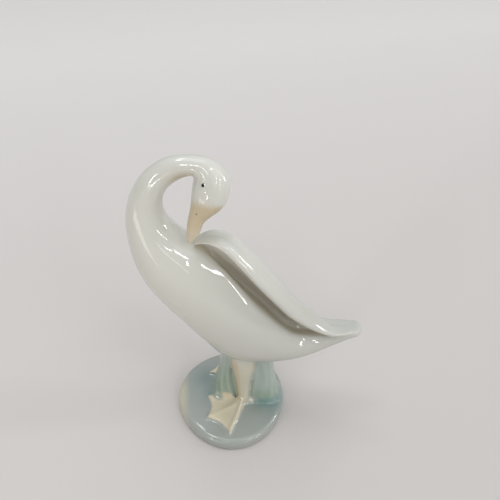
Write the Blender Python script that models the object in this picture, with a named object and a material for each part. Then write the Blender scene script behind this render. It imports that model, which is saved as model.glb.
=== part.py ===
"""Swan figurine: one piece of glazed porcelain, a preening swan on a low oval base.

The swan stands on two webbed feet between two clumps of reeds. Its neck rises from the breast, curls back
over the body, and lays the bill at the front of the near wing.

Sizes are in millimetres. The origin is the centre of the base's underside, the bird looks towards -X, and
the side that is seen first is -Y. Heights of the bird, legs and reeds are above the top of the base.
"""

import math

import bmesh
import bpy
import numpy as np
from mathutils import Vector

MM = 0.001

# The base, an oval plate with a rolled shoulder.
BASE_LENGTH = 46.0
BASE_WIDTH = 49.2
BASE_HEIGHT = 5.0
BASE_SHOULDER = 2.2
BASE_FOOT_CHAMFER = 0.6
BASE_DOME = 0.5
BASE_LOBE = 0.5
BASE_LOBE_TURN = -75.0
BASE_SHIFT = -0.5
BASE_SIDES = 72
# The share of the plate's half widths at which its top levels out, and the share of the dome's height there.
BASE_LEVEL_SHARE = 0.55
BASE_LEVEL_RISE = 0.6

# The skin of the bird from the tail's tip along the body and the neck's curl to the bill's tip. Each row is
# one oval section: its end on the back or nape (x, height), its end on the belly, breast or throat (x, height),
# its place across, and its half width.
SKIN = [
    (48.3, 41.0, 49.5, 37.5, 0.0, 3.7),
    (43.0, 39.6, 44.6, 35.0, 0.0, 4.3),
    (37.5, 39.0, 39.4, 31.5, 0.0, 5.3),
    (31.0, 40.6, 32.2, 28.2, 0.0, 7.4),
    (25.2, 43.6, 23.4, 26.4, 0.0, 9.8),
    (21.6, 47.8, 12.4, 26.0, 0.0, 11.8),
    (18.0, 53.0, -1.2, 29.6, 0.0, 13.2),
    (12.2, 60.0, -10.6, 38.7, 0.0, 13.6),
    (5.1, 68.0, -18.7, 48.9, 0.0, 13.2),
    (-2.0, 75.4, -25.8, 58.6, 0.0, 12.3),
    (-8.6, 81.8, -31.0, 68.0, 0.0, 11.0),
    (-14.4, 85.6, -33.3, 77.0, 0.0, 9.4),
    (-18.2, 89.4, -34.0, 85.0, 0.0, 8.0),
    (-20.2, 93.3, -33.7, 92.0, 0.0, 6.9),
    (-20.7, 97.3, -32.3, 98.2, 0.0, 6.0),
    (-19.8, 101.2, -29.6, 104.0, -0.1, 5.3),
    (-18.3, 103.7, -26.0, 108.8, -0.2, 4.8),
    (-16.5, 105.5, -21.9, 112.0, -0.4, 4.3),
    (-14.0, 107.2, -17.2, 114.4, -0.6, 3.9),
    (-11.9, 108.2, -12.9, 115.0, -0.9, 3.6),
    (-10.2, 108.6, -8.2, 115.0, -1.1, 3.6),
    (-9.4, 108.5, -3.6, 114.1, -1.5, 3.9),
    (-9.3, 107.8, -0.1, 111.5, -2.0, 4.3),
    (-9.5, 106.6, 1.8, 108.4, -2.3, 4.7),
    (-9.9, 104.7, 1.9, 104.6, -2.7, 4.9),
    (-10.3, 102.1, 0.7, 101.0, -3.2, 4.7),
    (-10.6, 99.4, -1.4, 98.1, -3.7, 4.1),
    (-11.2, 96.7, -4.3, 95.5, -4.2, 3.2),
    (-11.8, 94.3, -6.6, 93.3, -4.6, 2.6),
    (-12.5, 91.1, -8.4, 91.0, -5.1, 2.2),
    (-12.9, 88.2, -10.0, 88.0, -5.6, 1.9),
    (-12.7, 86.8, -11.2, 86.6, -5.9, 1.4),
]
TAIL_ROUND = 3.6
BILL_ROUND = 0.8
SKIN_RINGS = 66
SKIN_SIDES = 24

# The wings' edges, from the nose at the neck back to the tail's tip: x and height of the centre of the rolled
# edge, tilt of the section in degrees, half span, edge radius, rise of the back above the edge, depth of the
# root, and how much lower the far wing lies.
WING = [
    (-11.0, 84.6, 66.0, 5.6, 0.9, -0.8, 3.0, 5.0),
    (-8.2, 86.8, 62.0, 6.8, 1.3, -0.8, 6.0, 8.0),
    (-4.4, 87.7, 56.0, 7.8, 1.5, -0.6, 9.0, 9.5),
    (-0.8, 86.6, 49.0, 8.6, 1.7, -0.3, 10.0, 8.5),
    (5.0, 80.4, 40.0, 9.3, 2.0, 1.6, 11.0, 6.4),
    (11.0, 72.0, 36.0, 9.5, 2.0, 2.1, 11.0, 5.8),
    (17.6, 63.0, 37.0, 9.0, 2.0, 2.4, 11.0, 5.4),
    (24.0, 54.0, 41.0, 7.6, 1.8, 2.5, 9.0, 4.7),
    (30.0, 47.6, 47.0, 6.0, 1.5, 2.9, 7.0, 3.6),
    (36.0, 42.6, 60.0, 4.8, 1.2, 2.0, 3.6, 2.4),
    (41.5, 40.2, 84.0, 3.9, 1.0, 0.5, 2.0, 0.8),
    (46.5, 40.6, 98.0, 3.6, 0.8, 0.3, 1.4, 0.2),
    (49.8, 41.2, 104.0, 2.4, 0.7, 0.2, 1.2, 0.0),
]
# The wing's section, corner by corner round it: how far out in shares of the half span and of the edge radius,
# then how far up in shares of the rise, the root's depth and the edge radius.
WING_SECTION = [
    (-0.45, 0.0, 1.0, -0.16, -1.0),
    (0.12, 0.0, 1.0, 0.0, 0.0),
    (0.58, 0.0, 0.5, 0.0, 0.95),
    (0.94, 0.0, 0.0, 0.0, 0.97),
    (1.0, 1.0, 0.0, 0.0, 0.0),
    (0.98, 0.0, 0.0, 0.0, -1.0),
    (0.55, 0.0, 0.0, -0.05, -1.0),
    (0.24, 0.0, 0.0, -0.42, -0.5),
    (0.0, 0.0, 0.0, -1.0, 0.0),
    (-0.4, 0.0, 0.0, -0.85, 0.0),
]
WING_ROUND = 1.2
# The wings have unlike numbers of rings, so that their edges don't meet point for point inside the body.
NEAR_WING_RINGS = 38
FAR_WING_RINGS = 33
WING_SIDES = 20

# The legs: half thickness at the ankle, halfway and at the thigh, how much flatter they are across, the heights
# of the middle and of the thigh, how deep they reach into the base, where they stand and how far apart.
LEG_ANKLE = 2.5
LEG_MIDDLE = 3.0
LEG_THIGH = 4.8
LEG_FLATNESS = 0.9
LEG_MIDDLE_HEIGHT = 12.0
LEG_THIGH_HEIGHT = 24.0
LEG_TOP = 36.0
LEG_SINK = 2.0
LEG_X = 5.3
LEG_SPACING = 10.4
LEG_OFFSET = 0.5
LEG_SIDES = 16
LEG_RINGS = 11

# The webbed feet lie on the base: the toes' length, the web's thickness, the ridges along the toes, the heel's
# height, the web's reach behind it, its place beside the leg, and in degrees how far each foot turns out and how
# far its toes spread.
FOOT_LENGTH = 15.5
FOOT_WEB = 1.1
FOOT_RIDGE = 0.7
FOOT_HEEL = 2.6
FOOT_BACK = 3.0
FOOT_FORWARD = 0.9
FOOT_OUTWARD = 0.9
NEAR_FOOT_SPLAY = 29.0
FAR_FOOT_SPLAY = 49.0
FOOT_FAN = 43.0
# Shares of the toes' length: how far the web reaches between two toes, and how far out the foot's top is level.
FOOT_HOLLOW = 0.8
FOOT_LEVEL = 0.55

# The reeds: two clumps of upright blades that carry the belly: x, y, half length, half width of each clump.
REED_CLUMPS = [(-2.7, 1.4, 3.6, 4.4), (13.2, 1.8, 5.0, 5.6)]
REED_TOP = 37.0
REED_SINK = 2.0
REED_FLARE = 1.5
REED_FLARE_HEIGHT = 9.0
REED_BLADES = 9
REED_GROOVE = 0.55
REED_SIDES = 54
REED_RINGS = 7


def smooth_rows(rows, count):
    """Read count rows from the smooth curve through the given rows, evenly along its length."""
    rows = np.array(rows, dtype=float)
    steps = np.linalg.norm(np.diff(rows[:, :3], axis=0), axis=1)
    along = np.concatenate([[0.0], np.cumsum(steps)])
    slopes = np.gradient(rows, along, axis=0)
    places = np.linspace(0.0, along[-1], count)
    index = np.clip(np.searchsorted(along, places, side="right") - 1, 0, len(rows) - 2)
    length = (along[index + 1] - along[index])[:, None]
    part = (places - along[index])[:, None] / length
    start, end = rows[index], rows[index + 1]
    leave, arrive = slopes[index] * length, slopes[index + 1] * length
    return (
        start * (2 * part**3 - 3 * part**2 + 1)
        + leave * (part**3 - 2 * part**2 + part)
        + end * (3 * part**2 - 2 * part**3)
        + arrive * (part**3 - part**2)
    )


def closed_curve(corners, count):
    """Read count points from the closed smooth curve through the given corners."""
    corners = np.array(corners, dtype=float)
    total = len(corners)
    places = np.arange(count) * total / count
    index = places.astype(int)
    part = (places - index)[:, None]
    before, start = corners[(index - 1) % total], corners[index]
    end, after = corners[(index + 1) % total], corners[(index + 2) % total]
    return 0.5 * (
        2 * start
        + (end - before) * part
        + (2 * before - 5 * start + 4 * end - after) * part**2
        + (3 * start - before - 3 * end + after) * part**3
    )


def rounded_end(ring, outward, reach, steps=4):
    """Rings that close an end over a quarter round, and the point at its middle."""
    middle = ring.mean(axis=0)
    rings = []
    for step in range(1, steps):
        angle = math.radians(90.0 * step / steps)
        rings.append(middle + (ring - middle) * math.cos(angle) + outward * reach * math.sin(angle))
    return rings, middle + outward * reach


def lofted(rings, start_reach, end_reach):
    """Close a row of rings into one mesh, with rounded or flat ends."""
    first_out = rings[0].mean(axis=0) - rings[1].mean(axis=0)
    last_out = rings[-1].mean(axis=0) - rings[-2].mean(axis=0)
    first_rings, first_point = rounded_end(rings[0], first_out / np.linalg.norm(first_out), start_reach)
    last_rings, last_point = rounded_end(rings[-1], last_out / np.linalg.norm(last_out), end_reach)
    if start_reach == 0.0:
        first_rings = []
    if end_reach == 0.0:
        last_rings = []
    mesh = bmesh.new()
    loops = []
    for ring in [*reversed(first_rings), *rings, *last_rings]:
        loops.append([mesh.verts.new(Vector(point) * MM) for point in ring])
    sides = len(loops[0])
    for one, two in zip(loops, loops[1:]):
        for k in range(sides):
            after = (k + 1) % sides
            mesh.faces.new((one[k], one[after], two[after], two[k]))
    start = mesh.verts.new(Vector(first_point) * MM)
    end = mesh.verts.new(Vector(last_point) * MM)
    for k in range(sides):
        after = (k + 1) % sides
        mesh.faces.new((start, loops[0][after], loops[0][k]))
        mesh.faces.new((end, loops[-1][k], loops[-1][after]))
    bmesh.ops.recalc_face_normals(mesh, faces=mesh.faces)
    return mesh


def oval_rings(rows, sides):
    """Rings set square to the curve through the rows' centres, each an oval of half depth and half width."""
    centres = rows[:, :3]
    tangents = np.gradient(centres, axis=0)
    tangents /= np.linalg.norm(tangents, axis=1)[:, None]
    angles = np.arange(sides) * 2 * math.pi / sides
    rings = []
    for centre, tangent, depth, width in zip(centres, tangents, rows[:, 3], rows[:, 4]):
        across = np.array([0.0, 1.0, 0.0]) - tangent * tangent[1]
        across /= np.linalg.norm(across)
        up = np.cross(across, tangent)
        rings.append(
            centre
            + np.outer(np.cos(angles) * depth, up)
            + np.outer(np.sin(angles) * width, across)
        )
    return rings


def helper(name, mesh):
    """Make an object that is only joined into another one, and stays hidden itself."""
    data = bpy.data.meshes.new(name)
    mesh.to_mesh(data)
    mesh.free()
    thing = bpy.data.objects.new(name, data)
    thing.display_type = "WIRE"
    thing.hide_render = True
    bpy.context.collection.objects.link(thing)
    return thing


def base_mesh():
    """The oval plate: flat underside, small foot chamfer, upright side, rolled shoulder, slightly domed top."""
    profile = [(-BASE_FOOT_CHAMFER, 0.0), (0.0, BASE_FOOT_CHAMFER)]
    for step in range(5):
        angle = math.radians(90.0 * step / 4)
        inset = BASE_SHOULDER * (math.cos(angle) - 1.0)
        profile.append((inset, BASE_HEIGHT - BASE_SHOULDER * (1.0 - math.sin(angle))))
    half_length, half_width = BASE_LENGTH / 2, BASE_WIDTH / 2
    angles = np.arange(BASE_SIDES) * 2 * math.pi / BASE_SIDES
    mesh = bmesh.new()
    loops = []
    rows = [(inset, inset, height) for inset, height in profile]
    level_x, level_y = half_length * (BASE_LEVEL_SHARE - 1.0), half_width * (BASE_LEVEL_SHARE - 1.0)
    rows.append((level_x, level_y, BASE_HEIGHT + BASE_DOME * BASE_LEVEL_RISE))
    for inset_x, inset_y, height in rows:
        loop = []
        for angle in angles:
            lobe = BASE_LOBE * math.cos(3 * (angle - math.radians(BASE_LOBE_TURN)))
            x = (half_length + inset_x + lobe) * math.cos(angle)
            y = (half_width + inset_y + lobe) * math.sin(angle) + BASE_SHIFT
            loop.append(mesh.verts.new(Vector((x, y, height)) * MM))
        loops.append(loop)
    for one, two in zip(loops, loops[1:]):
        for k in range(BASE_SIDES):
            after = (k + 1) % BASE_SIDES
            mesh.faces.new((one[k], one[after], two[after], two[k]))
    mesh.faces.new(list(reversed(loops[0])))
    top = mesh.verts.new(Vector((0.0, 0.0, BASE_HEIGHT + BASE_DOME)) * MM)
    for k in range(BASE_SIDES):
        mesh.faces.new((top, loops[-1][k], loops[-1][(k + 1) % BASE_SIDES]))
    bmesh.ops.recalc_face_normals(mesh, faces=mesh.faces)
    return mesh


def skin_mesh():
    """Tail, body, breast, neck, head and bill in one skin."""
    rings = []
    angles = np.arange(SKIN_SIDES) * 2 * math.pi / SKIN_SIDES
    rows = []
    for back_x, back_z, front_x, front_z, y, width in SKIN:
        middle = ((back_x + front_x) / 2, y, BASE_HEIGHT + (back_z + front_z) / 2)
        rows.append((*middle, (back_x - front_x) / 2, (back_z - front_z) / 2, width))
    for x, y, z, up_x, up_z, width in smooth_rows(rows, SKIN_RINGS):
        up = np.array([up_x, 0.0, up_z])
        across = np.array([0.0, width, 0.0])
        ring = np.array([x, y, z]) + np.outer(np.cos(angles), up) + np.outer(np.sin(angles), across)
        rings.append(ring)
    return lofted(rings, TAIL_ROUND, BILL_ROUND)


def wing_mesh(side):
    """One wing: a thick flap with a rolled edge that stands off the flank; side is -1 near and 1 far."""
    drop, count = (0.0, NEAR_WING_RINGS) if side < 0 else (1.0, FAR_WING_RINGS)
    rings = []
    rows = [(x, 0.0, BASE_HEIGHT + height, *rest) for x, height, *rest in WING]
    for x, _, z, tilt, span, radius, rise, root, lower in smooth_rows(rows, count):
        up = np.array([math.cos(math.radians(tilt)), 0.0, math.sin(math.radians(tilt))])
        centre = np.array([x, 0.0, z]) - up * lower * drop
        corners = [
            (out_span * span + out_edge * radius, up_rise * rise + up_root * root + up_edge * radius)
            for out_span, out_edge, up_rise, up_root, up_edge in WING_SECTION
        ]
        section = closed_curve(corners, WING_SIDES)
        across = np.array([0.0, side, 0.0])
        rings.append(centre + np.outer(section[:, 0], across) + np.outer(section[:, 1], up))
    return lofted(rings, WING_ROUND, WING_ROUND)


def leg_mesh(side):
    """One leg, round, widening into the thigh."""
    y = LEG_OFFSET + side * LEG_SPACING / 2
    foot = BASE_HEIGHT - LEG_SINK
    rows = [
        (LEG_X, y, foot, LEG_ANKLE, LEG_ANKLE),
        (LEG_X, y, BASE_HEIGHT + LEG_SINK, LEG_ANKLE, LEG_ANKLE),
        (LEG_X, y, BASE_HEIGHT + LEG_MIDDLE_HEIGHT, LEG_MIDDLE, LEG_MIDDLE * LEG_FLATNESS),
        (LEG_X, y, BASE_HEIGHT + LEG_THIGH_HEIGHT, LEG_THIGH, LEG_THIGH * LEG_FLATNESS),
        (LEG_X, y, BASE_HEIGHT + LEG_TOP, LEG_THIGH, LEG_THIGH * LEG_FLATNESS),
    ]
    return lofted(oval_rings(smooth_rows(rows, LEG_RINGS), LEG_SIDES), 0.0, 0.0)


def foot_outline(side):
    """The web's outline on the base: heel, then three toe tips with the web drawn in between them."""
    heel = np.array([LEG_X - FOOT_FORWARD, LEG_OFFSET + side * (LEG_SPACING / 2 + FOOT_OUTWARD)])
    splay = NEAR_FOOT_SPLAY if side < 0 else FAR_FOOT_SPLAY
    facing = math.radians(180.0 - side * splay)
    fan = math.radians(FOOT_FAN)
    points = []
    for toe in (-1, 0, 1):
        angle = facing + toe * fan
        points.append(heel + FOOT_LENGTH * np.array([math.cos(angle), math.sin(angle)]))
        if toe < 1:
            between = angle + fan / 2
            reach = FOOT_LENGTH * FOOT_HOLLOW
            points.append(heel + reach * np.array([math.cos(between), math.sin(between)]))
    return heel, points


def foot_mesh(side):
    """One webbed foot: a thin wedge that is highest at the heel, with a ridge along each toe."""
    heel, tips = foot_outline(side)
    mesh = bmesh.new()
    sink = BASE_HEIGHT - LEG_SINK
    back = heel + (heel - tips[2]) * (FOOT_BACK / FOOT_LENGTH)
    low_heel = mesh.verts.new(Vector((*back, sink)) * MM)
    top_heel = mesh.verts.new(Vector((*heel, BASE_HEIGHT + BASE_DOME + FOOT_HEEL)) * MM)
    low, rim, top = [], [], []
    for k, tip in enumerate(tips):
        ridge = FOOT_RIDGE if k % 2 == 0 else 0.0
        edge = BASE_HEIGHT + (BASE_DOME + FOOT_WEB + ridge) / 2
        inner = heel + (tip - heel) * FOOT_LEVEL
        low.append(mesh.verts.new(Vector((*tip, sink)) * MM))
        rim.append(mesh.verts.new(Vector((*tip, edge)) * MM))
        top.append(mesh.verts.new(Vector((*inner, BASE_HEIGHT + BASE_DOME + FOOT_WEB + ridge)) * MM))
    for k in range(len(tips) - 1):
        mesh.faces.new((low[k], low[k + 1], rim[k + 1], rim[k]))
        mesh.faces.new((rim[k], rim[k + 1], top[k + 1], top[k]))
        mesh.faces.new((top[k], top[k + 1], top_heel))
        mesh.faces.new((low[k + 1], low[k], low_heel))
    for end in (0, -1):
        mesh.faces.new((low[end], rim[end], top[end], top_heel, low_heel))
    bmesh.ops.recalc_face_normals(mesh, faces=mesh.faces)
    bmesh.ops.triangulate(mesh, faces=mesh.faces)
    return mesh


def reed_mesh(clump):
    """A clump of upright blades, fluted all round and spreading at its foot."""
    x, y, half_length, half_width = clump
    angles = np.arange(REED_SIDES) * 2 * math.pi / REED_SIDES
    flutes = 1.0 - REED_GROOVE / half_length * (0.5 - 0.5 * np.cos(angles * REED_BLADES))
    rings = []
    for step in range(REED_RINGS):
        share = step / (REED_RINGS - 1)
        height = -REED_SINK + (REED_TOP + REED_SINK) * share
        spread = 1.0 + (REED_FLARE / half_length) * max(0.0, 1.0 - max(height, 0.0) / REED_FLARE_HEIGHT) ** 2
        ring = np.empty((REED_SIDES, 3))
        ring[:, 0] = x + half_length * spread * flutes * np.cos(angles)
        ring[:, 1] = y + half_width * spread * flutes * np.sin(angles)
        ring[:, 2] = BASE_HEIGHT + height
        rings.append(ring)
    return lofted(rings, 0.0, 0.0)


def porcelain():
    """White porcelain under a clear glossy glaze."""
    material = bpy.data.materials.new("glazed_porcelain")
    material.use_nodes = True
    shader = material.node_tree.nodes["Principled BSDF"]
    shader.inputs["Base Color"].default_value = (0.72, 0.72, 0.69, 1.0)
    shader.inputs["Roughness"].default_value = 0.12
    return material


def main():
    for thing in list(bpy.data.objects):
        bpy.data.objects.remove(thing, do_unlink=True)

    data = bpy.data.meshes.new("swan_figurine")
    base = base_mesh()
    base.to_mesh(data)
    base.free()
    swan = bpy.data.objects.new("swan_figurine", data)
    bpy.context.collection.objects.link(swan)

    forms = [helper("skin", skin_mesh())]
    for side, name in ((-1, "near"), (1, "far")):
        forms.append(helper(f"{name}_wing", wing_mesh(side)))
        forms.append(helper(f"{name}_leg", leg_mesh(side)))
        forms.append(helper(f"{name}_foot", foot_mesh(side)))
    for number, clump in enumerate(REED_CLUMPS, 1):
        forms.append(helper(f"reeds_{number}", reed_mesh(clump)))
    for form in forms:
        joined = swan.modifiers.new(form.name, "BOOLEAN")
        joined.operation = "UNION"
        joined.solver = "EXACT"
        joined.object = form

    swan.data.materials.append(porcelain())
    swan.data.shade_smooth()
    swan.data.set_sharp_from_angle(angle=math.radians(50.0))


main()
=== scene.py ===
"""Looks of the swan figurine: one slip-cast porcelain piece, painted under a clear gloss glaze.

The casting is made of fine closed forms (skin, wings, legs, feet, reeds, base). They are fused into one
surface, softened as a thick glaze softens them, and painted through masks worked out from the forms.

Sizes in the classes are in millimetres, heights of the bird are above the top of the base, the bird looks
towards -X and the side that is seen first is -Y.
"""

import logging
import math
from dataclasses import dataclass, field
from enum import Enum
from typing import Any, Sequence

import bpy
import numpy as np
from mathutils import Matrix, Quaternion, Vector
from mathutils.bvhtree import BVHTree


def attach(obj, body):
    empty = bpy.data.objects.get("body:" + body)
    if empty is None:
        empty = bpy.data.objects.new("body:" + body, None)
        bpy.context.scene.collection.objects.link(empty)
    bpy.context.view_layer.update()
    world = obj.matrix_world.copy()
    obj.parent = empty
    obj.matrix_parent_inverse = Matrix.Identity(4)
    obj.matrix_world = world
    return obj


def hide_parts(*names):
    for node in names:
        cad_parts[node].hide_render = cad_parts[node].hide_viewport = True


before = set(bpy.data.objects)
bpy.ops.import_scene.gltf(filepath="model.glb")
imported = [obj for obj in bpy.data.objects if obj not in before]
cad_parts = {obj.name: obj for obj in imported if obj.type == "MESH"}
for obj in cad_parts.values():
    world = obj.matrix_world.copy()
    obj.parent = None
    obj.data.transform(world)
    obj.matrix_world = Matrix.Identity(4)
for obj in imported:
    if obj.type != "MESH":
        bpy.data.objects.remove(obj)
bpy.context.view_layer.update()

MM = 0.001
NODE = "swan_figurine"
BODY = "root"

Array = np.ndarray
Link = tuple[bpy.types.Node, str | int]

# The inputs and the output of a colour mix go by number, because their names repeat.
FACTOR, UNDER, OVER = 0, 6, 7
MIXED = 2

log = logging.getLogger("swan")


class Side(Enum):
    """The two sides of the bird, as the sign of Y."""

    NEAR = -1
    FAR = 1


class Zone(Enum):
    """The painted or bare zones of the glazed surface, by the name of their mask on the mesh."""

    BASE = "base_mask"
    DARK = "dark_mask"
    TEAL = "teal_mask"
    RIM = "rim_mask"
    REED = "reed_mask"
    GREEN = "green_mask"
    STRIPE = "stripe_mask"
    LEG = "leg_mask"
    SHANK = "shank_mask"
    FOOT = "foot_mask"
    TOE = "toe_mask"
    BILL = "bill_mask"
    # Painted shade on the bill's side towards the tail.
    BILL_SHADE = "bill_shade_mask"
    # Painted shade under the neck's curl.
    NECK_SHADE = "neck_shade_mask"
    # Painted shade over the body, darker towards the tail and the belly.
    BODY = "body_shade_mask"
    BISQUE = "bisque_mask"


def hex_to_linear(code: str) -> tuple[float, float, float, float]:
    """Turn an sRGB hex colour into a linear colour with full alpha.

    Args:
        code: The colour, such as "#E8E6DC".

    Returns:
        Red, green, blue and alpha, linear.
    """
    parts = [int(code[place : place + 2], 16) / 255 for place in (1, 3, 5)]
    linear = [part / 12.92 if part <= 0.04045 else ((part + 0.055) / 1.055) ** 2.4 for part in parts]
    return (linear[0], linear[1], linear[2], 1.0)


def smoothstep(low: float, high: float, value: Array | float) -> Array:
    """Rise smoothly from 0 at low to 1 at high.

    Args:
        low: Where the result leaves 0.
        high: Where it reaches 1.
        value: The value or values to weigh.

    Returns:
        The weights.
    """
    part = np.clip((value - low) / (high - low), 0.0, 1.0)
    return part * part * (3.0 - 2.0 * part)


def smooth_rows(rows: Sequence[Sequence[float]], count: int) -> Array:
    """Read rows from the smooth curve through the given rows, evenly along its length.

    Args:
        rows: The rows; their first three values are a place.
        count: How many rows to read.

    Returns:
        The rows read.
    """
    table = np.array(rows, dtype=float)
    steps = np.linalg.norm(np.diff(table[:, :3], axis=0), axis=1)
    along = np.concatenate([[0.0], np.cumsum(steps)])
    slopes = np.gradient(table, along, axis=0)
    places = np.linspace(0.0, along[-1], count)
    index = np.clip(np.searchsorted(along, places, side="right") - 1, 0, len(table) - 2)
    length = (along[index + 1] - along[index])[:, None]
    part = (places - along[index])[:, None] / length
    start, end = table[index], table[index + 1]
    leave, arrive = slopes[index] * length, slopes[index + 1] * length
    return (
        start * (2 * part**3 - 3 * part**2 + 1)
        + leave * (part**3 - 2 * part**2 + part)
        + end * (3 * part**2 - 2 * part**3)
        + arrive * (part**3 - part**2)
    )


def fair(rows: Array, passes: int) -> Array:
    """Even out a row of values, so that a glossy surface built on it has no ripples.

    Args:
        rows: The rows, close together along a curve.
        passes: How many times each row is drawn to the middle of its neighbours.

    Returns:
        The evened rows, with the first and last as they were.
    """
    for _ in range(passes):
        rows[1:-1] = 0.5 * rows[1:-1] + 0.25 * (rows[:-2] + rows[2:])
    return rows


def closed_curve(corners: Sequence[Sequence[float]], count: int) -> Array:
    """Read points from the closed smooth curve through the given corners.

    Args:
        corners: The corners in order.
        count: How many points to read.

    Returns:
        The points read.
    """
    table = np.array(corners, dtype=float)
    total = len(table)
    places = np.arange(count) * total / count
    index = places.astype(int)
    part = (places - index)[:, None]
    before, start = table[(index - 1) % total], table[index]
    end, after = table[(index + 1) % total], table[(index + 2) % total]
    return 0.5 * (
        2 * start
        + (end - before) * part
        + (2 * before - 5 * start + 4 * end - after) * part**2
        + (3 * start - before - 3 * end + after) * part**3
    )


@dataclass
class Form:
    """One closed form of the casting: its points in millimetres and its faces."""

    name: str
    points: Array
    faces: list[tuple[int, ...]]

    def tree(self) -> BVHTree:
        """A search tree over the form's faces."""
        return BVHTree.FromPolygons([Vector(point) for point in self.points], self.faces)


def loft(name: str, rings: Sequence[Array], start_reach: float, end_reach: float, steps: int = 8) -> Form:
    """Close a row of rings into one form, each end drawn in over a quarter round.

    Args:
        name: The form's name.
        rings: Rings of equal count.
        start_reach: How far the first end's round stands out; 0 is flat.
        end_reach: The same for the last end.
        steps: Rings in each quarter round.

    Returns:
        The closed form.
    """
    ends: list[tuple[list[Array], Array]] = []
    for ring, inner, reach in ((rings[0], rings[1], start_reach), (rings[-1], rings[-2], end_reach)):
        middle = ring.mean(axis=0)
        outward = middle - inner.mean(axis=0)
        outward = outward / np.linalg.norm(outward)
        extra = []
        if reach > 0.0:
            for step in range(1, steps):
                angle = math.radians(90.0 * step / steps)
                extra.append(middle + (ring - middle) * math.cos(angle) + outward * reach * math.sin(angle))
        ends.append((extra, middle + outward * reach))
    loops = [*reversed(ends[0][0]), *rings, *ends[1][0]]
    sides = len(loops[0])
    points = np.concatenate([*loops, ends[0][1][None, :], ends[1][1][None, :]])
    start, end = len(points) - 2, len(points) - 1
    faces: list[tuple[int, ...]] = []
    last = (len(loops) - 1) * sides
    for here in range(0, last, sides):
        there = here + sides
        for k in range(sides):
            after = (k + 1) % sides
            faces.append((here + k, here + after, there + after, there + k))
    for k in range(sides):
        after = (k + 1) % sides
        faces.append((start, after, k))
        faces.append((end, last + k, last + after))
    return Form(name, points, faces)


def ovals(rows: Array, sides: int) -> list[Array]:
    """Rings set square to the curve through the rows' centres.

    Args:
        rows: x, y, z, half depth, half width of each oval.
        sides: Points round each oval.

    Returns:
        The rings.
    """
    tangents = np.gradient(rows[:, :3], axis=0)
    tangents /= np.linalg.norm(tangents, axis=1)[:, None]
    angles = np.arange(sides) * 2 * math.pi / sides
    rings = []
    for centre, tangent, depth, width in zip(rows[:, :3], tangents, rows[:, 3], rows[:, 4]):
        across = np.array([0.0, 1.0, 0.0]) - tangent * tangent[1]
        across /= np.linalg.norm(across)
        up = np.cross(across, tangent)
        rings.append(
            centre + np.outer(np.cos(angles) * depth, up) + np.outer(np.sin(angles) * width, across)
        )
    return rings


@dataclass
class Base:
    """The low plate under everything: three soft lobes round, a rolled shoulder and a slightly domed top."""

    length: float = 46.0
    width: float = 49.2
    height: float = 5.0
    shoulder: float = 2.2
    foot_chamfer: float = 0.6
    dome: float = 0.5
    lobe: float = 0.5
    lobe_turn: float = -75.0
    shift: float = -0.5
    shoulder_steps: int = 8
    dome_shares: tuple[float, ...] = (0.75, 0.5, 0.25, 0.1)
    sides: int = 180

    def outline(self, inset: float) -> Array:
        """The plate's outline in plan, drawn in by the inset.

        Args:
            inset: How far inside the widest line.

        Returns:
            The outline's points.
        """
        angles = np.arange(self.sides) * 2 * math.pi / self.sides
        lobes = self.lobe * np.cos(3 * (angles - math.radians(self.lobe_turn)))
        x = (self.length / 2 - inset + lobes) * np.cos(angles)
        y = (self.width / 2 - inset + lobes) * np.sin(angles) + self.shift
        return np.stack([x, y], axis=1)

    def form(self) -> Form:
        """The plate as a closed form."""
        rows = [(self.foot_chamfer, 0.0), (0.0, self.foot_chamfer)]
        for step in range(self.shoulder_steps + 1):
            angle = math.radians(90.0 * step / self.shoulder_steps)
            drop = self.shoulder * (1.0 - math.sin(angle))
            rows.append((self.shoulder * (1.0 - math.cos(angle)), self.height - drop))
        half = self.length / 2
        for share in self.dome_shares:
            inset = half * (1.0 - share)
            rows.append((inset, self.height + self.dome * (1.0 - share**2)))
        rings = []
        for inset, height in rows:
            plan = self.outline(inset)
            rings.append(np.column_stack([plan, np.full(len(plan), height)]))
        return loft("base", rings, 0.0, 0.0)


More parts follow.
